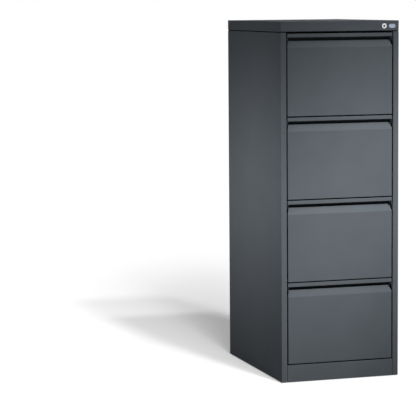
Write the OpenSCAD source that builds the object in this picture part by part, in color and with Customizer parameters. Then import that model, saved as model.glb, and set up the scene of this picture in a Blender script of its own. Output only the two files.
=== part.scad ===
// Four-drawer filing cabinet of folded sheet steel, with full-extension ball slides and a lock bar.
// Millimetres. +Z is up, the drawers open towards -Y, and the origin is under the middle of the base.

/* [Cabinet] */
// Overall width across the side panels
cab_w = 460; // [450:1:480]
// Overall depth from the face of the lock to the back flanges
cab_d = 620; // [600:1:660]
// Overall height from the floor to the top of the lid
cab_h = 1321; // [1300:1:1400]
// Thickness of the carcass sheet
sheet = 1; // [0.8:0.1:1.2]
// Outside radius of the folds
fold_r = 2; // [1.6:0.1:2.4]
// Height of the lid and its front rail
lid_h = 40; // [39:1:46]
// Width of the stiles folded along the front of the side panels
stile_w = 22; // [21:0.5:23]
// Height of the top of the plinth above the floor
plinth_top = 64.5; // [50:0.5:70]

/* [Drawers] */
// Gap above and below each drawer front
drawer_gap = 4.5; // [2:0.5:5]
// Gap between a drawer front and the stile on each side
side_gap = 4.5; // [3.5:0.5:5.5]
// Depth of the double-skinned drawer front
front_t = 34; // [32:1:36]
// Thickness of the drawer sheet
tray_sheet = 0.8; // [0.7:0.1:1]
// Height of the tray sides above the bottom of the drawer front
tray_top = 246; // [225:1:250]
// How far each drawer runs out, which is also the length of its closed slides
travel = 540; // [520:1:540]

/* [Handle] */
// Height of the flush strip above the finger slot
strip_h = 13; // [10:1:16]
// Height of the finger slot
slot_h = 12.5; // [10:0.5:14]
// Height of the pull lip below the finger slot
lip_h = 24; // [20:1:30]
// How far the pull lip leans back
lip_back = 13; // [10:1:14]
// Corner cut off each end of the lip
lip_cut = 7; // [4:1:9]

/* [Slides] */
// Height of the slide section
slide_h = 45; // [42:1:48]
// Thickness of each slide, between the cabinet post and the tray
slide_t = 13; // [12.8:0.1:13.4]
// Thickness of the slide steel
slide_sheet = 1.2; // [1:0.1:1.3]
// Diameter of the balls
ball_d = 2.6; // [2.4:0.1:2.7]
// Balls in each row
row_balls = 5; // [3:1:8]

/* [Lock] */
// Lock axis, in from the right-hand edge of the lid
lock_in = 58; // [55:1:66]
// Diameter of the lock's round head
lock_d = 18.5; // [18:0.5:20]
// How far the lock stands out of the lid
lock_proud = 1.5; // [1:0.25:2]
// Radius at which the cam's pin lifts the lock bar
crank_r = 8; // [7.75:0.25:8.5]

/* [Feet and badge] */
// Height of the steel above the floor, on its glides
steel_z = 2; // [1:0.5:4]
// Diameter of the glides
glide_d = 30; // [24:1:32]
// Width of the blank badge plate
badge_w = 26; // [20:1:28]
// Height of the blank badge plate
badge_h = 14; // [10:1:16]

/* [Hidden] */
$fn = 48;
drawers = 4;
drawer_list = [1:drawers];
function names(stem) = [for (k = drawer_list) str(stem, "_", k)];

// Finishes
paint = "#5c6066";
zinc = "#b9bcc0";
chrome = "#d9dbde";
black = "#1c1c1e";

// Overlap that makes a cut run clear of a face
eps = 1;

// Carcass
half_w = cab_w / 2;
front_y = -cab_d / 2 + lock_proud;
back_y = cab_d / 2;
lid_z = cab_h - lid_h;
inner_x = half_w - stile_w;
flange_w = 12;
stile_return = 20;
plinth_gap = 0.5;
plinth_d = 22;
rib_x = 90;
rib_w = 30;
rib_d = 5;
back_in = sheet + rib_d + sheet + eps;
fixing_r = 3.5;
fixing_x = 150;
fixing_z = lid_z - 60;
pan_z = 16;
pan_gap = 0.2;
stiff_w = 36;
stiff_d = 18;
stiff_lip = 12;

// Feet
glide_x = 195;
glide_y = 270;
glide_h = 8;
glide_edge = 2;
stud_r = 4;
stud_play = 0.2;
stud_top = 32;
foot_nut_r = 7.5;
foot_nut_h = 5;

// Drawer fronts
pitch = (lid_z - plinth_top - drawer_gap) / drawers;
front_h = pitch - drawer_gap;
front_w = cab_w - 2 * (stile_w + side_gap);
strip_z = front_h - strip_h;
strip_back = 14;
lip_top = strip_z - slot_h;
lip_foot = lip_top - lip_h;
lip_cut_z = lip_foot + 4;
hem = 5;
ear_r = 9;
ear_y = 0.6;
ear_c = [-2.9, -5];
nest = 0.1;
recess_y = lip_back + hem + 2;
function drawer_z(k) = plinth_top + drawer_gap + (drawers - k) * pitch;

// Trays
slide_web = inner_x + 1;
tray_x = slide_web - slide_t;
tray_y0 = front_y + front_t;
tray_y1 = back_y - 30;
tray_floor = 8;
tray_lip = 8;
rail_foot = 7;
rail_t = 1.2;
rail_h = 14;
bumper_r = 7;
bumper_x = 150;
bumper_z = 120;
bumper_gap = 0.5;

// Slides, whose members nest from the cabinet post inwards
slide_z = 90;
slide_y0 = tray_y0 + 1.5;
slide_y1 = slide_y0 + travel;
track = 3.2;
member_gap = 0.6;
flange_gap = 1.5;
mid_h = slide_h - 2 * (slide_sheet + track);
in_h = mid_h - 2 * (slide_sheet + track);
mid_x = slide_web - slide_sheet - member_gap;
cage_x = tray_x + slide_t / 2;
cage_w = 4;
cage_t = 0.8;
cage_len = 220;

// Lock
lock_x = half_w - lock_in;
lock_z = cab_h - lid_h / 2;
neck_r = 8;
neck_len = 20;
nut_r = 12;
nut_t = 4;
nut_play = 0.05;
plug_r = 4.5;
plug_play = 0.06;
plug_sunk = 0.3;
key_slot = [1.4, 2.5, 6];
tail = 6;
lock_turn = 90;
lift = 2 * crank_r * sin(lock_turn / 2);
pin_side = crank_r * cos(lock_turn / 2);
pin_z = lock_z - lift / 2;
pin_r = 2;
pin_play = 0.6;
cam_r = 8;
cam_eye = 4.5;
cam_t = 1.5;
cam_y = front_y + neck_len + 0.3;

// Lock bar, behind the right-hand stile, and the catches it blocks
bar_t = 2;
bar_w = 16;
bar_x = inner_x + 4;
bar_y = cam_y + cam_t + 0.8;
arm_h = 15;
arm_over = 9;
post_w = 40;
post_sheet = 1.2;
post_y = bar_y + bar_w + 8;
rear_post_y = slide_y1 - 12 - post_w;
catch_z = 190;
catch_h = 14;
catch_t = 2;
catch_foot = 16;
catch_x = inner_x - 1.5;
tab_x = tray_x + 4;
tab_y = tray_y0 + 1;
tab_h = 10;
tab_drop = 1.2;
catch_y = tab_y + bar_t + 1;
guide_z = 140;
guide_t = 3;
guide_wall = 2;
guide_play = 0.4;
bar_foot = 120;

// Badge
badge_in = 27;
badge_t = 1;

// Box between two opposite corners
module span(lo, hi) translate(lo) cube(hi - lo);

// What is drawn on the right, and again on the left
module both_sides() for (s = [0, 1]) mirror([s, 0, 0]) children();

// What a drawer carries, at the height of drawer k
module at_drawer(k) translate([0, 0, drawer_z(k)]) children();

// Rounded rectangle from the origin
function quarter(c, r, a) = [for (i = [0:4]) c + r * [cos(a + i * 22.5), sin(a + i * 22.5)]];
module round_rect(w, h, r) polygon(concat(
    quarter([w - r, h - r], r, 0), quarter([r, h - r], r, 90),
    quarter([r, r], r, 180), quarter([w - r, r], r, 270)));

// Block with every edge rounded like a fold
module round_block(lo, hi) {
    s = hi - lo;
    translate(lo) intersection() {
        linear_extrude(s.z) round_rect(s.x, s.y, fold_r);
        translate([0, s.y, 0]) rotate([90, 0, 0]) linear_extrude(s.y) round_rect(s.x, s.z, fold_r);
        rotate([90, 0, 90]) linear_extrude(s.x) round_rect(s.y, s.z, fold_r);
    }
}

// Path with an arc at each inner point, as a press folds it
function unit(v) = v / norm(v);
function turned(v, a) = [v.x * cos(a) - v.y * sin(a), v.x * sin(a) + v.y * cos(a)];
function bend(p, i, r) =
    let (a = unit(p[i - 1] - p[i]), b = unit(p[i + 1] - p[i]), half = acos(a * b) / 2,
         c = p[i] + unit(a + b) * r / sin(half), v = p[i] + a * r / tan(half) - c,
         sweep = (180 - 2 * half) * sign(a.y * b.x - a.x * b.y))
    [for (j = [0:4]) c + turned(v, sweep * j / 4)];
function bends(p, r = fold_r) =
    [for (i = [0:len(p) - 1]) each (i == 0 || i == len(p) - 1) ? [p[i]] : bend(p, i, r)];

// Outline of a sheet of thickness t that lies on the left of the path p
function side_of(p, i) = let (d = unit(p[i + 1] - p[i])) [-d.y, d.x];
function mitre(p, i) =
    i == 0 ? side_of(p, 0)
    : i == len(p) - 1 ? side_of(p, i - 1)
    : let (a = side_of(p, i - 1), b = side_of(p, i)) (a + b) / (1 + a * b);
module folded(p, t) polygon(concat(p, [for (i = [len(p) - 1:-1:0]) p[i] + t * mitre(p, i)]));

// Profile of [depth, height] run across from x0 to x1
module across(x0, x1) translate([x0, 0, 0]) rotate([90, 0, 90]) linear_extrude(x1 - x0) children();

// Profile of [x, height] run back from y0 to y1
module along(y0, y1) translate([0, y1, 0]) rotate([90, 0, 0]) linear_extrude(y1 - y0) children();

// Round bar pointing backwards from y0 to y1
module rod(r, y0, y1) translate([0, y0, 0]) rotate([-90, 0, 0]) cylinder(r = r, h = y1 - y0);

// ---- Carcass ----

// Side panel on the right: side, front stile and flanges, open towards the drawers
module side_panel() color(paint) difference() {
    round_block([inner_x, front_y, steel_z], [half_w, back_y, lid_z]);
    span([inner_x + sheet, front_y + sheet, steel_z + sheet],
         [half_w - sheet, back_y - sheet, lid_z - sheet]);
    span([inner_x - eps, front_y + stile_return, steel_z - eps],
         [half_w - flange_w, back_y + eps, lid_z + eps]);
}

module side_panel_right() side_panel();

module side_panel_left() mirror([1, 0, 0]) side_panel();

// Back sheet inside the rear flanges, with two pressed ribs and two fixing holes
module back_panel() {
    y = back_y - sheet;
    edge = half_w - sheet;
    function rib(x) = [[x + rib_w / 2, y], [x + rib_w / 2 - rib_d, y - rib_d],
                       [x - rib_w / 2 + rib_d, y - rib_d], [x - rib_w / 2, y]];
    color(paint) difference() {
        translate([0, 0, steel_z + sheet]) linear_extrude(lid_z - steel_z - 2 * sheet)
            folded(concat([[edge, y]], rib(rib_x), rib(-rib_x), [[-edge, y]]), sheet);
        both_sides() translate([fixing_x, 0, fixing_z]) rod(fixing_r, y - sheet - eps, y + eps);
    }
}

// Lid cap with its front rail, open below inside a narrow flange
module lid() color(paint) difference() {
    round_block([-half_w, front_y, lid_z], [half_w, back_y, cab_h]);
    span([-half_w + sheet, front_y + sheet, lid_z + sheet], [half_w - sheet, back_y - sheet, cab_h - sheet]);
    span([-half_w + flange_w, front_y + flange_w, lid_z - eps],
         [half_w - flange_w, back_y - flange_w, lid_z + 2 * sheet]);
    translate([lock_x, 0, lock_z]) rod(neck_r, front_y - eps, front_y + sheet + eps);
}

// Hat channel welded across the underside of the lid
module lid_stiffener() {
    top = cab_h - sheet;
    w = stiff_w / 2;
    color(paint) across(-half_w + sheet, half_w - sheet)
        folded([[w + stiff_lip, top], [w, top], [w, top - stiff_d],
                [-w, top - stiff_d], [-w, top], [-w - stiff_lip, top]], sheet);
}

// Plinth panel between the stiles, open at the back
module plinth() {
    w = inner_x - plinth_gap;
    y1 = front_y + plinth_d;
    color(paint) difference() {
        round_block([-w, front_y, steel_z], [w, y1 + fold_r, plinth_top]);
        span([-w + sheet, front_y + sheet, steel_z + sheet], [w - sheet, y1 + eps, plinth_top - sheet]);
        span([-w - eps, y1, steel_z - eps], [w + eps, y1 + fold_r + eps, plinth_top + eps]);
    }
}

// Tray-shaped base, upside down, with a hole for each foot
module base_pan() {
    w = half_w - sheet - pan_gap;
    y0 = front_y + plinth_d + pan_gap;
    y1 = back_y - back_in;
    color(paint) difference() {
        span([-w, y0, steel_z + sheet], [w, y1, pan_z]);
        span([-w + sheet, y0 + sheet, steel_z], [w - sheet, y1 - sheet, pan_z - sheet]);
        each_foot() cylinder(r = stud_r + stud_play, h = pan_z + eps);
    }
}

// Upright channels that the slides are fixed to
module posts(y) both_sides() difference() {
    span([slide_web, y, pan_z], [half_w - sheet, y + post_w, lid_z - sheet]);
    span([slide_web + post_sheet, y + post_sheet, pan_z - eps],
         [half_w, y + post_w - post_sheet, lid_z]);
}

module front_posts() color(zinc) posts(post_y);

module rear_posts() color(zinc) posts(rear_post_y);

// ---- Feet ----

module each_foot() for (x = [-glide_x, glide_x], y = [-glide_y, glide_y]) translate([x, y, 0]) children();

// Nylon discs that the cabinet stands on
module glides() color(black) each_foot() {
    cylinder(r1 = glide_d / 2 - glide_edge, r2 = glide_d / 2, h = glide_edge);
    translate([0, 0, glide_edge]) cylinder(r = glide_d / 2, h = glide_h - glide_edge);
}

// Threaded studs, each with a nut above and below the base
module glide_studs() color(zinc) each_foot() {
    translate([0, 0, glide_h]) cylinder(r = stud_r, h = stud_top - glide_h);
    for (z = [pan_z - sheet - foot_nut_h, pan_z]) translate([0, 0, z]) cylinder(r = foot_nut_r, h = foot_nut_h, $fn = 6);
}

// Rubber stops that the backs of the trays close against
module rear_bumpers() color(black) for (k = drawer_list) at_drawer(k) both_sides()
    translate([bumper_x, 0, bumper_z]) rod(bumper_r, tray_y1 + bumper_gap, back_y - 2 * sheet);

// ---- Lock ----

module at_lock() translate([lock_x, 0, lock_z]) children();

// Round head and threaded neck, bored for the barrel
module lock_housing() color(chrome) at_lock() difference() {
    union() {
        rod(lock_d / 2, -cab_d / 2, front_y);
        rod(neck_r, front_y, front_y + neck_len);
    }
    rod(plug_r + plug_play, -cab_d / 2 - eps, front_y + neck_len + eps);
}

// Flat nut that holds the housing in the lid
module lock_nut() color(zinc) at_lock() difference() {
    translate([0, front_y + sheet, 0]) rotate([-90, 0, 0]) cylinder(r = nut_r, h = nut_t, $fn = 6);
    rod(neck_r + nut_play, front_y, front_y + sheet + nut_t + eps);
}

// Barrel with its key slot upright and a square tail for the cam
module lock_barrel() color(black) at_lock() {
    difference() {
        rod(plug_r, -cab_d / 2 + plug_sunk, cam_y);
        translate([-key_slot.x / 2, -cab_d / 2, -key_slot.z / 2]) cube(key_slot);
    }
    span([-tail / 2, cam_y, -tail / 2], [tail / 2, cam_y + cam_t, tail / 2]);
}

// Cam on the barrel, with the pin that works in the lock bar's slot
module lock_cam() color(zinc) at_lock() {
    pin = [-pin_side, pin_z - lock_z];
    difference() {
        along(cam_y, cam_y + cam_t) union() {
            circle(cam_r);
            translate(pin) circle(cam_eye);
        }
        span([-tail / 2, cam_y - eps, -tail / 2], [tail / 2, cam_y + cam_t + eps, tail / 2]);
    }
    translate([pin.x, 0, pin.y]) rod(pin_r, cam_y + cam_t, bar_y + bar_t + eps);
}

// Lock bar: a strip behind the stile, with an arm to the cam
module lock_bar() {
    z0 = pin_z - arm_h / 2;
    z1 = pin_z + arm_h / 2;
    slot = pin_r + pin_play;
    color(zinc) {
        span([bar_x, bar_y, drawer_z(drawers) + bar_foot], [bar_x + bar_t, bar_y + bar_w, z1]);
        difference() {
            span([lock_x - crank_r - arm_over, bar_y, z0], [bar_x, bar_y + bar_t, z1]);
            span([lock_x - crank_r - slot, bar_y - eps, pin_z - slot],
                 [lock_x - pin_side + slot, bar_y + bar_t + eps, pin_z + slot]);
        }
    }
}

// Tabs welded to the lock bar, one under each drawer's catch
module lock_bar_tabs() color(zinc) for (k = drawer_list) at_drawer(k)
    span([tab_x, tab_y, catch_z - tab_drop - tab_h], [bar_x, tab_y + bar_t, catch_z - tab_drop]);

// Slotted plates on the front post that the lock bar slides through
module lock_bar_guides() color(zinc) for (k = drawer_list) at_drawer(k) difference() {
    span([bar_x - guide_play - guide_wall, bar_y - guide_play - guide_wall, guide_z],
         [half_w - sheet, post_y, guide_z + guide_t]);
    span([bar_x - guide_play, bar_y - guide_play, guide_z - eps],
         [bar_x + bar_t + guide_play, bar_y + bar_w + guide_play, guide_z + guide_t + eps]);
}

// Blank plate with round ends, fixed to the lid beside the lock
module badge_plate() color(chrome) translate([half_w - badge_in - badge_w / 2, 0, lock_z - badge_h / 2])
    along(front_y - badge_t, front_y) round_rect(badge_w, badge_h, badge_h / 2);

// ---- Slides ----

// Channel of height h from web x0 to flange end x1, on whichever side of x0 that is
module channel(x0, x1, h) at_slide() difference() {
    span([min(x0, x1), slide_y0, -h / 2], [max(x0, x1), slide_y1, h / 2]);
    s = sign(x1 - x0) * slide_sheet;
    span([min(x0 + s, x1 + s), slide_y0 - eps, -h / 2 + slide_sheet],
         [max(x0 + s, x1 + s), slide_y1 + eps, h / 2 - slide_sheet]);
}

module at_slide() translate([0, 0, slide_z]) children();

// Member fixed to the posts
module slide_outer(k) color(zinc) at_drawer(k) both_sides()
    channel(slide_web, tray_x + slide_sheet + 2 * flange_gap, slide_h);

// Member that runs half as far as the drawer
module slide_middle(k) color(zinc) at_drawer(k) both_sides()
    channel(mid_x, tray_x + slide_sheet + flange_gap, mid_h);

// Member fixed to the tray
module slide_inner(k) color(zinc) at_drawer(k) both_sides()
    channel(tray_x, mid_x - slide_sheet - flange_gap, in_h);

// One row of balls in its cage, starting at y
module cage(y, z) translate([cage_x, y, z]) {
    span([-cage_w / 2, 0, -cage_t / 2], [cage_w / 2, cage_len, cage_t / 2]);
    for (i = [0.5:row_balls]) translate([0, i * cage_len / row_balls, 0]) sphere(d = ball_d);
}

// Balls between the members: the outer rows behind, the inner rows in front
module ball_cages(k) color(chrome) at_drawer(k) both_sides() at_slide() for (s = [-1, 1]) {
    cage(slide_y1 - cage_len - 2 * flange_gap, s * (mid_h + track) / 2);
    cage(slide_y0 + 2 * flange_gap, s * (in_h + track) / 2);
}

// ---- Drawers ----

// Vertical edges of a drawer front, rounded
module front_envelope() translate([-front_w / 2, 0, -eps])
    linear_extrude(front_h + 2 * eps) round_rect(front_w, 2 * front_t, fold_r);

// Outer skin: bottom flange, face, leaning pull lip and its hem, and side flanges
module front_skin(k) {
    path = bends([[lip_back + hem, lip_top - hem], [lip_back + hem, lip_top], [lip_back, lip_top],
                  [0, lip_foot], [0, 0], [front_t, 0]]);
    color(paint) at_drawer(k) translate([0, front_y, 0]) difference() {
        intersection() {
            union() {
                across(-front_w / 2, front_w / 2) folded(path, tray_sheet);
                both_sides() across(front_w / 2 - tray_sheet, front_w / 2) polygon(path);
            }
            front_envelope();
        }
        both_sides() along(-eps, front_t)
            polygon([[front_w / 2 + eps, lip_cut_z], [front_w / 2 + eps, lip_top + eps],
                     [front_w / 2 - lip_cut, lip_top + eps], [front_w / 2, lip_cut_z]]);
    }
}

// Inner pan: back wall, top, flush strip above the finger slot, its ends and ears
module front_inner(k) {
    function path(v) = bends([[front_t, v], [front_t, front_h], [0, front_h], [0, strip_z], [strip_back, strip_z]]);
    side = front_w / 2 - tray_sheet;
    color(paint) at_drawer(k) translate([0, front_y, 0]) intersection() {
        union() {
            across(-side + nest, side - nest) folded(path(tray_sheet), tray_sheet);
            both_sides() across(side - nest, side + tray_sheet) folded(path(strip_z), tray_sheet);
            both_sides() across(side, side + tray_sheet) polygon(path(strip_z));
            both_sides() span([side - nest - tray_sheet, recess_y, tray_sheet], [side - nest, front_t, front_h - fold_r]);
            both_sides() across(side, side + tray_sheet) intersection() {
                translate([ear_c.x, strip_z + ear_c.y]) circle(ear_r);
                translate([ear_y, strip_z - 2 * ear_r]) square([ear_r, 2 * ear_r + tray_sheet]);
            }
        }
        front_envelope();
    }
}

// Floor and sides of the drawer, with the tops turned in
module tray(k) color(paint) at_drawer(k) along(tray_y0, tray_y1)
    folded(bends([[-tray_x + tray_lip, tray_top], [-tray_x, tray_top], [-tray_x, tray_floor],
                  [tray_x, tray_floor], [tray_x, tray_top], [tray_x - tray_lip, tray_top]]), tray_sheet);

// Back of the drawer, with its top turned forwards
module tray_back(k) {
    w = tray_x - tray_sheet - nest;
    top = tray_top - tray_sheet - nest;
    color(paint) at_drawer(k) translate([0, tray_y1, 0]) across(-w, w)
        folded(bends([[0, tray_floor + tray_sheet + fold_r], [0, top], [-tray_lip, top]]), tray_sheet);
}

// Rails that hanging files hook over
module file_rails(k) color(zinc) at_drawer(k) both_sides() along(tray_y0 + nest, tray_y1) union() {
    translate([tray_x - tray_lip, tray_top]) square([rail_foot - fold_r, rail_t]);
    translate([tray_x - tray_lip, tray_top]) square([rail_t, rail_h]);
}

// Bracket on the right of the tray that the lock bar's tab blocks
module lock_catch(k) color(zinc) at_drawer(k) {
    span([tray_x, catch_y, catch_z], [tray_x + catch_t, catch_y + catch_foot, catch_z + catch_h]);
    span([tray_x, catch_y, catch_z], [catch_x, catch_y + catch_t, catch_z + catch_h]);
}

side_panel_left();
side_panel_right();
back_panel();
lid();
lid_stiffener();
plinth();
base_pan();
front_posts();
rear_posts();
glides();
glide_studs();
rear_bumpers();
badge_plate();
lock_housing();
lock_nut();
lock_barrel();
lock_cam();
lock_bar();
lock_bar_tabs();
lock_bar_guides();
for (k = drawer_list) {
    slide_outer(k);
    slide_middle(k);
    ball_cages(k);
    slide_inner(k);
    front_skin(k);
    front_inner(k);
    tray(k);
    tray_back(k);
    file_rails(k);
    lock_catch(k);
}
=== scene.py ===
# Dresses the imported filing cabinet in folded, powder-coated sheet steel with a bright lock and plated slides.
# Metres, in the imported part's own frame: X to the right, the drawers open towards -Y, Z up.
import math

import bmesh
import bpy
from mathutils import Matrix, Vector


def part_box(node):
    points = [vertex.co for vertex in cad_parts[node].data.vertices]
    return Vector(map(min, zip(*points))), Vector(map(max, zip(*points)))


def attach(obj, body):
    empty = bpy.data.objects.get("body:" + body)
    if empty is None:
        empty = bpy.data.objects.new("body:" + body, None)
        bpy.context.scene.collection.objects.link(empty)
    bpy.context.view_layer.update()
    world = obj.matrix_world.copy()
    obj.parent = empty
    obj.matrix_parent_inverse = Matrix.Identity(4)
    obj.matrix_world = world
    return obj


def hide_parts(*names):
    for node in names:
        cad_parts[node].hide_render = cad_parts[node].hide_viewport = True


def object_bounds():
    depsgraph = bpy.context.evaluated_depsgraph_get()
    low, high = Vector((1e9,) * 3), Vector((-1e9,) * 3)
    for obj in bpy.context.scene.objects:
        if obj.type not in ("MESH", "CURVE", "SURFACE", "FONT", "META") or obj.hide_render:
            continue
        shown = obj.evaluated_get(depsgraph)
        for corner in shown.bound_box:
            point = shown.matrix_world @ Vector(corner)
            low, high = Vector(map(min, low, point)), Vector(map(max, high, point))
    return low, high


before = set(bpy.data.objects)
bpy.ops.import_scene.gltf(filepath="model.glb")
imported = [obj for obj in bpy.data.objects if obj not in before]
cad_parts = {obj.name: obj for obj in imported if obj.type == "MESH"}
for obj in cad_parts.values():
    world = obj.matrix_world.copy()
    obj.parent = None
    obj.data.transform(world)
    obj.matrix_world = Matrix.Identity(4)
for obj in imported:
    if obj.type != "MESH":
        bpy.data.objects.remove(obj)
cad_low, cad_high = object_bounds()

MM = 0.001
DRAWERS = (1, 2, 3, 4)

# How far apart two places may be and still count as one
CLOSE = 0.02 * MM
# Corners of a round piece
CORNERS = 64

# Sheet metal, as in the part's source
CASE_SHEET = 1.0 * MM
DRAWER_SHEET = 0.8 * MM
FOLD = 2.0 * MM
LID_FLANGE = 12 * MM
SIDE_FLANGE = 12 * MM
STILE_RETURN = 20 * MM

# Pull of a drawer, as in the part's source: the lip leans back and is cut off at its ends, the strip is flush
LIP_HEIGHT = 24 * MM
LIP_BACK = 13 * MM
LIP_CUT = 7 * MM
LIP_CUT_UP = 4 * MM
HEM = 5 * MM
STRIP_HEIGHT = 13 * MM
STRIP_BACK = 14 * MM
NEST = 0.1 * MM
HEM_GAP = 2 * MM
RECESS_DEPTH = LIP_BACK + HEM + HEM_GAP
EAR_RADIUS = 9 * MM
EAR_BACK = 2.9 * MM
EAR_DROP = 5 * MM
EAR_CLEAR = 0.6 * MM

# Lock, as in the part's source
LOCK_PROUD = 1.5 * MM
NECK_RADIUS = 8 * MM
BORE_RADIUS = 4.56 * MM

# Trim that is drawn here only: the shadow line under the lid, and the fine edges of the lock and the plate
LID_SEAM = 3 * MM
LID_SEAM_DEPTH = 1.5 * MM
LOCK_EDGE = 0.4 * MM
RIM_WIDTH = 0.9 * MM
RIM_SLOPE = 0.15 * MM
RIM_HEIGHT = 0.2 * MM
PLATE_EDGE = 0.2 * MM

# Studio, in metres
FLOOR_WIDTH = 400
LAMP_DISTANCE = 4


# ---- Working by hand ----


def only(piece):
    """Makes the piece the one that is selected and active."""
    bpy.ops.object.select_all(action="DESELECT")
    piece.select_set(True)
    bpy.context.view_layer.objects.active = piece


def named(name):
    """Puts the active piece's place into its mesh and names it."""
    piece = bpy.context.object
    bpy.ops.object.transform_apply(location=True, rotation=True, scale=True)
    piece.name = piece.data.name = name
    return piece


def block(name, low, high):
    """A block between two corners."""
    bpy.ops.object.select_all(action="DESELECT")
    low, high = Vector(low), Vector(high)
    bpy.ops.mesh.primitive_cube_add(size=1, location=(low + high) / 2)
    bpy.context.object.scale = high - low
    return named(name)


def disc(name, centre, radius, depth, axis="Y"):
    """A round disc with its axis along X or Y and no corner at its top or sides."""
    bpy.ops.object.select_all(action="DESELECT")
    bpy.ops.mesh.primitive_cylinder_add(vertices=CORNERS, radius=radius, depth=depth)
    half_step = Matrix.Rotation(math.pi / CORNERS, 4, "Z")
    bpy.context.object.data.transform(half_step)
    quarter = math.pi / 2
    bpy.context.object.rotation_euler = (quarter, 0, 0) if axis == "Y" else (0, quarter, 0)
    bpy.context.object.location = centre
    return named(name)


def near(a, b):
    """Whether two places are the same but for rounding."""
    return abs(a - b) < CLOSE


def shape(piece):
    """Starts work on the piece's mesh."""
    only(piece)
    bpy.ops.object.mode_set(mode="EDIT")


def done():
    """Ends work on the mesh."""
    bpy.ops.object.mode_set(mode="OBJECT")


def middle(element):
    """The middle of a corner, an edge or a face."""
    if isinstance(element, bmesh.types.BMVert):
        return element.co
    corners = [corner.co for corner in element.verts]
    return sum(corners, Vector()) / len(corners)


def pick(kind, wanted):
    """Selects the corners, edges or faces whose middle is wanted, and nothing else."""
    bpy.ops.mesh.select_mode(type=kind)
    bpy.ops.mesh.select_all(action="DESELECT")
    mesh = bmesh.from_edit_mesh(bpy.context.object.data)
    elements = {"VERT": mesh.verts, "EDGE": mesh.edges, "FACE": mesh.faces}[kind]
    for element in elements:
        if wanted(middle(element)):
            element.select_set(True)
    bmesh.update_edit_mesh(bpy.context.object.data)


def cut_away(wanted):
    """Takes out faces of the sheet."""
    pick("FACE", wanted)
    bpy.ops.mesh.delete(type="FACE")


def score(point, normal, trim=False, fill=False):
    """Marks a straight line round the sheet, or trims off what lies beyond it."""
    bpy.ops.mesh.select_mode(type="FACE")
    bpy.ops.mesh.select_all(action="SELECT")
    bpy.ops.mesh.bisect(plane_co=point, plane_no=normal, clear_outer=trim, use_fill=fill)


def draw_out(by):
    """Folds new sheet out of the selected edges or faces."""
    bpy.ops.mesh.extrude_region_move(TRANSFORM_OT_translate={"value": by})


def move(by):
    """Moves what is selected."""
    bpy.ops.transform.translate(value=by)


def apply(piece, kind, **settings):
    """Gives the piece a modifier and applies it."""
    only(piece)
    modifier = piece.modifiers.new(kind.lower(), kind)
    for name, value in settings.items():
        setattr(modifier, name, value)
    bpy.ops.object.modifier_apply(modifier=modifier.name)


def round_off(piece, width, segments, over):
    """Rounds the edges that turn by more than an angle in degrees."""
    angle = math.radians(over)
    apply(piece, "BEVEL", width=width, segments=segments, limit_method="ANGLE", angle_limit=angle)


def smooth(piece, angle=32):
    """Smooths the bends and keeps the flats flat."""
    only(piece)
    bpy.ops.object.shade_smooth_by_angle(angle=math.radians(angle))
    apply(piece, "WEIGHTED_NORMAL", keep_sharp=True)


def press(piece, thickness):
    """Rounds the folds, then thickens the sheet inwards."""
    round_off(piece, FOLD, segments=4, over=15)
    apply(piece, "SOLIDIFY", thickness=thickness, offset=-1, use_even_offset=True)
    smooth(piece)


def again(piece, name, by):
    """A copy with its own mesh, moved into place."""
    only(piece)
    bpy.ops.object.duplicate(linked=False)
    bpy.context.object.location = by
    return named(name)


def join(piece, *others):
    """Makes the others part of the piece."""
    only(piece)
    for other in others:
        other.select_set(True)
    bpy.ops.object.join()


def bore(piece, centre, radius, depth):
    """Drills through the piece along Y."""
    drill = disc("drill", centre, radius, depth)
    apply(piece, "BOOLEAN", operation="DIFFERENCE", object=drill, solver="EXACT")
    bpy.data.objects.remove(drill)


# ---- Case ----


def lid_cap():
    """Lid with a narrow flange turned in below, a shadow line above the case."""
    low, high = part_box("lid")
    low.z += LID_SEAM
    lid = block("lid_cap", low, high)
    shape(lid)
    pick("FACE", lambda at: near(at.z, low.z))
    bpy.ops.mesh.inset(thickness=LID_FLANGE)
    bpy.ops.mesh.delete(type="FACE")
    done()
    press(lid, CASE_SHEET)
    return lid


def lid_shadow_strip():
    """Black strip all round under the lid's flange, set back from its edge: a painted shadow that fills the
    seam, where there is only shade.
    """
    low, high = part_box("lid")
    top = low.z + LID_SEAM
    back = Vector((LID_SEAM_DEPTH, LID_SEAM_DEPTH, 0))
    seal = block("lid_shadow_strip", low + back, Vector((high.x, high.y, top)) - back)
    shape(seal)
    pick("FACE", lambda at: near(at.z, low.z) or near(at.z, top))
    bpy.ops.mesh.inset(thickness=LID_FLANGE - LID_SEAM_DEPTH)
    bpy.ops.mesh.bridge_edge_loops()
    done()
    smooth(seal)
    return seal


def side_panel(name, node):
    """Side sheet with the front stile and the top, bottom and rear flanges."""
    low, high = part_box(node)
    outer = high.x if high.x > 0 else low.x
    behind = low.y + STILE_RETURN
    towards = -1 if outer > 0 else 1
    panel = block(name, low, high)
    shape(panel)
    score((0, behind, 0), (0, 1, 0))
    score((outer + towards * SIDE_FLANGE, 0, 0), (1, 0, 0))
    cut_away(lambda at: at.y > behind and abs(at.x - outer) > SIDE_FLANGE)
    done()
    press(panel, CASE_SHEET)
    return panel


def plinth_panel():
    """Plinth with its top, bottom and end flanges, open behind."""
    low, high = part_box("plinth")
    panel = block("plinth_panel", low, high)
    shape(panel)
    cut_away(lambda at: near(at.y, high.y))
    done()
    press(panel, CASE_SHEET)
    return panel


# ---- Drawer fronts ----


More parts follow.
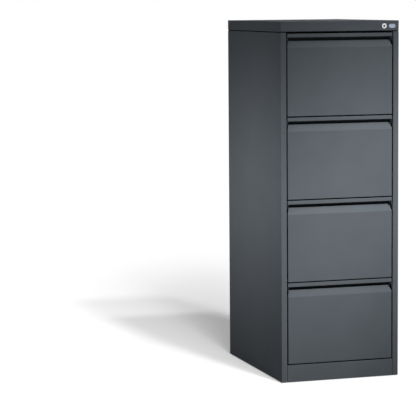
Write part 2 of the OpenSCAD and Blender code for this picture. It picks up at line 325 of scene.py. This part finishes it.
def drawer_skin(name, node):
    """Outer skin: bottom flange, sides, face, and the pull lip that leans back into its hem."""
    low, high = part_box(node)
    lip_foot = high.z - LIP_HEIGHT
    hem_y = low.y + LIP_BACK + HEM
    skin = block(name, low, high)
    shape(skin)
    cut_away(lambda at: near(at.y, high.y))
    score((0, 0, lip_foot), (0, 0, 1))
    pick("VERT", lambda at: near(at.z, high.z) and near(at.y, low.y))
    move((0, LIP_BACK, 0))
    pick("VERT", lambda at: near(at.z, high.z) and near(at.y, high.y))
    move((0, hem_y - high.y, 0))
    # Behind, each side runs straight from the bottom flange to the foot of the hem
    taper = (high.y - hem_y) * (lip_foot - low.z) / (high.z - HEM - low.z)
    pick("VERT", lambda at: near(at.z, lip_foot) and near(at.y, high.y))
    move((0, -taper, 0))
    pick("EDGE", lambda at: near(at.z, high.z) and near(at.y, hem_y))
    draw_out((0, 0, -HEM))
    for side in (-1, 1):
        corner = (side * high.x, 0, lip_foot + LIP_CUT_UP)
        outwards = (side * (LIP_HEIGHT - LIP_CUT_UP), 0, LIP_CUT)
        score(corner, outwards, trim=True)
    done()
    press(skin, DRAWER_SHEET)
    return skin


def drawer_pan(name, node):
    """Inner pan: flush strip above the finger slot, back wall with its sides, and an ear at each end."""
    low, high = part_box(node)
    strip = high.z - STRIP_HEIGHT
    side = high.x - DRAWER_SHEET - NEST
    pan = block(name, (low.x, low.y, strip), high)
    shape(pan)
    score((0, low.y + STRIP_BACK, 0), (0, 1, 0))
    for x in (-side, side):
        score((x, 0, 0), (1, 0, 0))
    cut_away(lambda at: near(at.z, strip) and at.y > low.y + STRIP_BACK)
    pick("EDGE", lambda at: near(at.z, strip) and near(at.y, high.y) and abs(at.x) < side)
    draw_out((0, 0, low.z - strip))
    pick("EDGE", lambda at: near(abs(at.x), side) and near(at.y, high.y) and at.z < strip)
    draw_out((0, low.y + RECESS_DEPTH - high.y, 0))
    done()
    press(pan, DRAWER_SHEET)
    ears = []
    for x in (low.x + DRAWER_SHEET / 2, high.x - DRAWER_SHEET / 2):
        centre = (x, low.y - EAR_BACK, strip - EAR_DROP)
        ear = disc("ear", centre, EAR_RADIUS, DRAWER_SHEET, axis="X")
        shape(ear)
        score((0, low.y + EAR_CLEAR, 0), (0, -1, 0), trim=True, fill=True)
        score((0, 0, strip + DRAWER_SHEET), (0, 0, 1), trim=True, fill=True)
        done()
        ears.append(ear)
    join(pan, *ears)
    return pan


# ---- Lock and badge ----


def lock_head():
    """Round head and neck of the lock, bored for its barrel."""
    low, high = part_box("lock_housing")
    centre = (low + high) / 2
    radius = (high.x - low.x) / 2
    length = high.y - low.y
    head_centre = (centre.x, low.y + LOCK_PROUD / 2, centre.z)
    head = disc("lock_head", head_centre, radius, LOCK_PROUD)
    shape(head)
    pick("FACE", lambda at: near(at.y, low.y + LOCK_PROUD))
    bpy.ops.mesh.inset(thickness=radius - NECK_RADIUS)
    draw_out((0, length - LOCK_PROUD, 0))
    done()
    bore(head, centre, BORE_RADIUS, 2 * length)
    round_off(head, LOCK_EDGE, segments=3, over=50)
    smooth(head, angle=40)
    return head


def badge():
    """Blank plate with round ends and a fine raised rim."""
    low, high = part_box("badge_plate")
    centre = (low + high) / 2
    radius = (high.z - low.z) / 2
    stretch = (high.x - low.x) / 2 - radius
    plate = disc("badge_blank", centre, radius, high.y - low.y)
    # The disc's halves are drawn apart, so that it gets straight sides between its round ends
    shape(plate)
    for way in (-1, 1):
        pick("VERT", lambda at: (at.x - centre.x) * way > 0)
        move((way * stretch, 0, 0))
    pick("FACE", lambda at: near(at.y, low.y))
    bpy.ops.mesh.inset(thickness=RIM_WIDTH)
    bpy.ops.mesh.inset(thickness=RIM_SLOPE)
    move((0, RIM_HEIGHT, 0))
    done()
    round_off(plate, PLATE_EDGE, segments=2, over=40)
    smooth(plate)
    return plate


# ---- Finishes ----


def colour(code):
    """A colour written as sRGB hex, in the linear values that the renderer uses."""
    parts = [int(code[start : start + 2], 16) / 255 for start in (1, 3, 5)]
    linear = [part / 12.92 if part <= 0.04045 else ((part + 0.055) / 1.055) ** 2.4 for part in parts]
    return linear + [1]


def add(tree, kind, links=(), **settings):
    """Adds a node, with its settings and what feeds or fills its sockets."""
    node = tree.nodes.new(kind)
    for name, value in settings.items():
        setattr(node, name, value)
    for socket, value in dict(links).items():
        if isinstance(value, bpy.types.NodeSocket):
            tree.links.new(value, node.inputs[socket])
        else:
            node.inputs[socket].default_value = value
    return node


def finish(name):
    """A new material, its node tree and its surface shader."""
    material = bpy.data.materials.new(name)
    material.use_nodes = True
    tree = material.node_tree
    return material, tree, tree.nodes["Principled BSDF"]


def powder_coat():
    """Polyester powder coat, anthracite, sprayed and baked: a semi-matt skin with a faint orange peel, and a
    painted highlight along the folds.
    """
    material, tree, surface = finish("anthracite_powder_coat")
    place = add(tree, "ShaderNodeTexCoord").outputs["Object"]
    # Film thickness drifts over a hand's width and tints the colour a little
    drift = add(tree, "ShaderNodeTexNoise", {"Vector": place, "Scale": 1 / (90 * MM), "Detail": 2})
    tint = add(tree, "ShaderNodeValToRGB", {"Fac": drift.outputs["Fac"]})
    thin, thick = tint.color_ramp.elements
    thin.position = 0.3
    thin.color = colour("#4b5055")
    thick.position = 0.7
    thick.color = colour("#4e5358")
    # Along the folds the colour is a shade lighter over about 2 mm: a painted highlight that stands in for the
    # light the rounded folds catch
    rounded = add(tree, "ShaderNodeBevel", {"Radius": 2 * MM}, samples=4)
    flat = add(tree, "ShaderNodeNewGeometry")
    normals = {0: rounded.outputs["Normal"], 1: flat.outputs["Normal"]}
    alike = add(tree, "ShaderNodeVectorMath", normals, operation="DOT_PRODUCT")
    turned = {"Value": alike.outputs["Value"], "From Min": 0.99, "From Max": 0.9}
    fold_highlight = add(tree, "ShaderNodeMapRange", turned)
    # A Mix node's two colours are its sockets 6 and 7, and their mix is its output 2
    paint_and_highlight = {0: fold_highlight.outputs["Result"], 6: tint.outputs["Color"], 7: colour("#5d6267")}
    coat = add(tree, "ShaderNodeMix", paint_and_highlight, data_type="RGBA")
    tree.links.new(coat.outputs[2], surface.inputs["Base Color"])
    # Orange peel, dimples about 1.5 mm apart and a few microns deep
    peel = add(tree, "ShaderNodeTexNoise", {"Vector": place, "Scale": 1 / (1.5 * MM), "Detail": 1})
    dimples = {"Height": peel.outputs["Fac"], "Strength": 0.15, "Distance": 0.01 * MM}
    relief = add(tree, "ShaderNodeBump", dimples)
    tree.links.new(relief.outputs["Normal"], surface.inputs["Normal"])
    surface.inputs["Roughness"].default_value = 0.82
    surface.inputs["IOR"].default_value = 1.22
    return material


def zinc_plate():
    """Bright zinc on cold-rolled steel: a soft grey shine, clouded in patches a few millimetres wide."""
    material, tree, surface = finish("zinc_plated_steel")
    place = add(tree, "ShaderNodeTexCoord").outputs["Object"]
    clouds = add(tree, "ShaderNodeTexNoise", {"Vector": place, "Scale": 1 / (6 * MM), "Detail": 3})
    tint = add(tree, "ShaderNodeValToRGB", {"Fac": clouds.outputs["Fac"]})
    dull, bright = tint.color_ramp.elements
    dull.color = colour("#a9acb0")
    bright.color = colour("#c6c8ca")
    tree.links.new(tint.outputs["Color"], surface.inputs["Base Color"])
    sheen = add(tree, "ShaderNodeMapRange", {"Value": clouds.outputs["Fac"], "To Min": 0.28, "To Max": 0.42})
    tree.links.new(sheen.outputs["Result"], surface.inputs["Roughness"])
    surface.inputs["Metallic"].default_value = 1
    return material


def satin_chrome():
    """Satin chrome on a zinc die casting: bright, with a fine turned grain."""
    material, tree, surface = finish("satin_chrome")
    place = add(tree, "ShaderNodeTexCoord").outputs["Object"]
    grain = add(tree, "ShaderNodeTexNoise", {"Vector": place, "Scale": 1 / (0.4 * MM), "Detail": 2})
    sheen = add(tree, "ShaderNodeMapRange", {"Value": grain.outputs["Fac"], "To Min": 0.14, "To Max": 0.26})
    tree.links.new(sheen.outputs["Result"], surface.inputs["Roughness"])
    surface.inputs["Base Color"].default_value = colour("#d6d8da")
    surface.inputs["Metallic"].default_value = 1
    return material


def worn_nickel():
    """Nickel-plated lock barrel, dulled by the key."""
    material, tree, surface = finish("worn_nickel_barrel")
    place = add(tree, "ShaderNodeTexCoord").outputs["Object"]
    wear = add(tree, "ShaderNodeTexNoise", {"Vector": place, "Scale": 1 / (1.2 * MM), "Detail": 4})
    tint = add(tree, "ShaderNodeValToRGB", {"Fac": wear.outputs["Fac"]})
    dulled, whole = tint.color_ramp.elements
    dulled.color = colour("#4c4b49")
    whole.color = colour("#7b7974")
    tree.links.new(tint.outputs["Color"], surface.inputs["Base Color"])
    surface.inputs["Metallic"].default_value = 1
    surface.inputs["Roughness"].default_value = 0.35
    return material


def anodised_aluminium():
    """Clear-anodised aluminium, brushed along its length: a cool satin grey with fine streaks."""
    material, tree, surface = finish("anodised_aluminium")
    place = add(tree, "ShaderNodeTexCoord").outputs["Object"]
    # Brush lines 0.1 mm apart are too fine to show, so they are drawn 0.5 mm apart and 20 times as long
    lie = add(tree, "ShaderNodeMapping", {"Vector": place, "Scale": (0.05, 1, 1)})
    lines = {"Vector": lie.outputs["Vector"], "Scale": 1 / (0.5 * MM), "Detail": 2}
    brush = add(tree, "ShaderNodeTexNoise", lines)
    sheen = add(tree, "ShaderNodeMapRange", {"Value": brush.outputs["Fac"], "To Min": 0.28, "To Max": 0.46})
    tree.links.new(sheen.outputs["Result"], surface.inputs["Roughness"])
    surface.inputs["Base Color"].default_value = colour("#8f96a5")
    surface.inputs["Metallic"].default_value = 1
    return material


def moulded(name, code, roughness, grain, depth, shine=0.5):
    """Black moulded plastic or rubber with a fine grain; also the shineless black of the painted shadow under
    the lid.
    """
    material, tree, surface = finish(name)
    place = add(tree, "ShaderNodeTexCoord").outputs["Object"]
    texture = add(tree, "ShaderNodeTexNoise", {"Vector": place, "Scale": 1 / grain, "Detail": 2})
    dimples = {"Height": texture.outputs["Fac"], "Strength": 0.3, "Distance": depth}
    relief = add(tree, "ShaderNodeBump", dimples)
    tree.links.new(relief.outputs["Normal"], surface.inputs["Normal"])
    surface.inputs["Base Color"].default_value = colour(code)
    surface.inputs["Roughness"].default_value = roughness
    surface.inputs["Specular IOR Level"].default_value = shine
    return material


paint = powder_coat()
zinc = zinc_plate()
chrome = satin_chrome()
nickel = worn_nickel()
aluminium = anodised_aluminium()
nylon = moulded("glass_filled_nylon", "#1d1d1f", roughness=0.5, grain=0.8 * MM, depth=0.02 * MM)
rubber = moulded("black_rubber", "#161617", roughness=0.8, grain=0.5 * MM, depth=0.03 * MM)
# A black with no shine at all, for the strip of painted shadow in the seam under the lid
shadow_black = moulded("painted_shadow_black", "#0c0c0d", roughness=1, grain=0.6 * MM, depth=0.1 * MM, shine=0)


# ---- Assembly ----


def dress(piece, material, body, slot, *nodes):
    """Gives a new piece its finish, its body and the solids it stands for."""
    piece.data.materials.clear()
    piece.data.materials.append(material)
    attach(piece, body)
    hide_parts(*nodes)


def coat(material, *names):
    """Gives solids of the part, which keep their own shape, their finish."""
    for name in names:
        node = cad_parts[name]
        if not node.material_slots:
            node.data.materials.append(material)
        for slot in node.material_slots:
            slot.material = material


dress(lid_cap(), paint, "cabinet", "paint", "lid")
# The black strip under the lid is painted shadow: the seam there holds only shade
dress(lid_shadow_strip(), shadow_black, "cabinet", "rubber", "lid")
dress(side_panel("panel_right", "side_panel_right"), paint, "cabinet", "paint", "side_panel_right")
dress(side_panel("panel_left", "side_panel_left"), paint, "cabinet", "paint", "side_panel_left")
dress(plinth_panel(), paint, "cabinet", "paint", "plinth")
dress(lock_head(), chrome, "cabinet", "lock_chrome", "lock_housing")
dress(badge(), aluminium, "cabinet", "badge_metal", "badge_plate")
coat(paint, "back_panel", "lid_stiffener", "base_pan")
coat(zinc, "front_posts", "rear_posts", "glide_studs")
coat(nylon, "glides")
coat(rubber, "rear_bumpers")
coat(zinc, "lock_nut", "lock_cam", "lock_bar", "lock_bar_tabs", "lock_bar_guides")
coat(nickel, "lock_barrel")

# The first drawer's front is made once, and its copies are lowered to the drawers below
skins = {1: drawer_skin("drawer_skin_1", "front_skin_1")}
pans = {1: drawer_pan("drawer_pan_1", "front_inner_1")}
for number in DRAWERS[1:]:
    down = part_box(f"front_skin_{number}")[0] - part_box("front_skin_1")[0]
    skins[number] = again(skins[1], f"drawer_skin_{number}", down)
    pans[number] = again(pans[1], f"drawer_pan_{number}", down)
for number in DRAWERS:
    dress(skins[number], paint, f"drawer_{number}", "drawer_paint", f"front_skin_{number}")
    dress(pans[number], paint, f"drawer_{number}", "drawer_paint", f"front_inner_{number}")
    coat(paint, f"tray_{number}", f"tray_back_{number}")
    coat(zinc, f"file_rails_{number}", f"lock_catch_{number}")
    coat(zinc, f"slide_outer_{number}", f"slide_middle_{number}", f"slide_inner_{number}")
    coat(chrome, f"ball_cages_{number}")


# ---- Studio ----


def seen_by_eye_or_shine(tree):
    """1 for the camera's rays and for those that a shiny or clear surface sends out, otherwise 0."""
    ray = add(tree, "ShaderNodeLightPath").outputs
    by_eye_or_gloss = {0: ray["Is Camera Ray"], 1: ray["Is Glossy Ray"]}
    seen = add(tree, "ShaderNodeMath", by_eye_or_gloss, operation="MAXIMUM")
    or_through_glass = {0: seen.outputs[0], 1: ray["Is Transmission Ray"]}
    return add(tree, "ShaderNodeMath", or_through_glass, operation="MAXIMUM").outputs[0]


def floor(glow):
    """Matt vinyl sweep: grey to the light that bounces, paler and with a glow to the eye and to shine."""
    bpy.ops.object.select_all(action="DESELECT")
    bpy.ops.mesh.primitive_plane_add(size=FLOOR_WIDTH)
    ground = named("floor")
    material, tree, surface = finish("white_vinyl_floor")
    surface.inputs["Base Color"].default_value = colour("#9c9c9c")
    surface.inputs["Roughness"].default_value = 0.9
    surface.inputs["Specular IOR Level"].default_value = 0
    pale = add(tree, "ShaderNodeBsdfDiffuse", {"Color": colour("#ececec")})
    light = add(tree, "ShaderNodeEmission", {"Color": (1, 1, 1, 1), "Strength": glow})
    glowing = add(tree, "ShaderNodeAddShader", {0: pale.outputs[0], 1: light.outputs[0]})
    links = {0: seen_by_eye_or_shine(tree), 1: surface.outputs[0], 2: glowing.outputs[0]}
    mixed = add(tree, "ShaderNodeMixShader", links)
    tree.links.new(mixed.outputs[0], tree.nodes["Material Output"].inputs["Surface"])
    ground.data.materials.append(material)
    return ground


def white_surroundings(strength):
    """Soft light from all round; the eye and shine see it as white."""
    world = bpy.data.worlds.new("studio")
    bpy.context.scene.world = world
    world.use_nodes = True
    tree = world.node_tree
    tree.nodes.clear()
    light = add(tree, "ShaderNodeBackground", {"Color": (1, 1, 1, 1), "Strength": strength})
    white = add(tree, "ShaderNodeBackground", {"Color": (1, 1, 1, 1), "Strength": 1})
    links = {0: seen_by_eye_or_shine(tree), 1: light.outputs[0], 2: white.outputs[0]}
    mixed = add(tree, "ShaderNodeMixShader", links)
    add(tree, "ShaderNodeOutputWorld", {"Surface": mixed.outputs[0]})


def hang(lamp, bearing, height, aim):
    """Hangs a lamp so that it faces the aim.

    The bearing is 0 at the front and grows to the right. It and the height are in degrees.
    """
    bearing, height = math.radians(bearing), math.radians(height)
    level = math.cos(height)
    away = Vector((level * math.sin(bearing), -level * math.cos(bearing), math.sin(height)))
    holder = bpy.data.objects.new(lamp.name, lamp)
    bpy.context.scene.collection.objects.link(holder)
    holder.location = Vector(aim) + LAMP_DISTANCE * away
    holder.rotation_euler = (-away).to_track_quat("-Z", "Y").to_euler()
    holder.visible_camera = False
    return holder


def distant_light(name, bearing, height, spread, strength):
    """A far light from one bearing. Its spread is its width in the sky, in degrees."""
    lamp = bpy.data.lights.new(name, "SUN")
    lamp.energy = strength
    lamp.angle = math.radians(spread)
    return hang(lamp, bearing, height, aim=(0, 0, 0))


def pool_light(name, bearing, height, aim, radius, watts, widen=1):
    """A soft light that fades to nothing at its radius round the aim, and is wider than high if asked."""
    lamp = bpy.data.lights.new(name, "SPOT")
    lamp.energy = watts
    lamp.shadow_soft_size = 0.3
    lamp.spot_size = 2 * math.atan(radius / LAMP_DISTANCE)
    lamp.spot_blend = 1
    holder = hang(lamp, bearing, height, aim)
    holder.scale.x = widen
    return holder


def floor_rule(lamp, ground, state):
    """Keeps the lamp to the floor (INCLUDE), or off it (EXCLUDE)."""
    receivers = bpy.data.collections.new(lamp.name + "_receivers")
    receivers.objects.link(ground)
    receivers.collection_objects[0].light_linking.link_state = state
    lamp.light_linking.receiver_collection = receivers


ground = floor(glow=0.33)
white_surroundings(strength=0.06)
left, front, back = cad_low.x, cad_low.y, cad_high.y
object_lights = [
    distant_light("key_light", bearing=10, height=36, spread=26, strength=0.94),
    pool_light("front_light", bearing=42, height=35, aim=(0.01, front, 0.6), radius=0.64, watts=1170),
    pool_light("top_light", bearing=15, height=62, aim=(0.06, front, 1.29), radius=0.22, watts=480),
    pool_light("side_light", bearing=-75, height=20, aim=(left, 0, 0.69), radius=0.48, watts=620, widen=1.6),
    pool_light("back_light", bearing=150, height=22, aim=(0, back, 0.52), radius=0.64, watts=900),
]
# Together these cast the long shadow that pales away from the cabinet
floor_lights = [
    distant_light("floor_light_low", bearing=-9, height=25, spread=14, strength=1.4),
    distant_light("floor_light_middle", bearing=0, height=31, spread=14, strength=1.15),
    distant_light("floor_light_high", bearing=10, height=40, spread=5, strength=0.95),
    distant_light("floor_light_top", bearing=13, height=52, spread=5, strength=0.82),
]
for lamp in object_lights:
    floor_rule(lamp, ground, "EXCLUDE")
for lamp in floor_lights:
    floor_rule(lamp, ground, "INCLUDE")

# A long lens, 7 m away to the left of the front and just above the lid
camera = bpy.data.objects.new("camera", bpy.data.cameras.new("camera"))
bpy.context.scene.collection.objects.link(camera)
bpy.context.scene.camera = camera
camera.data.sensor_width = 36
camera.data.lens = 164.6
camera.data.clip_end = 100
place = (-2.509, -6.79, 1.398)
turn, tilt, roll = -0.2995, math.pi / 2 - 0.1055, -0.0076
camera.matrix_world = (
    Matrix.Translation(place)
    @ Matrix.Rotation(turn, 4, "Z")
    @ Matrix.Rotation(tilt, 4, "X")
    @ Matrix.Rotation(roll, 4, "Z")
)

bpy.context.scene.view_settings.view_transform = "Standard"
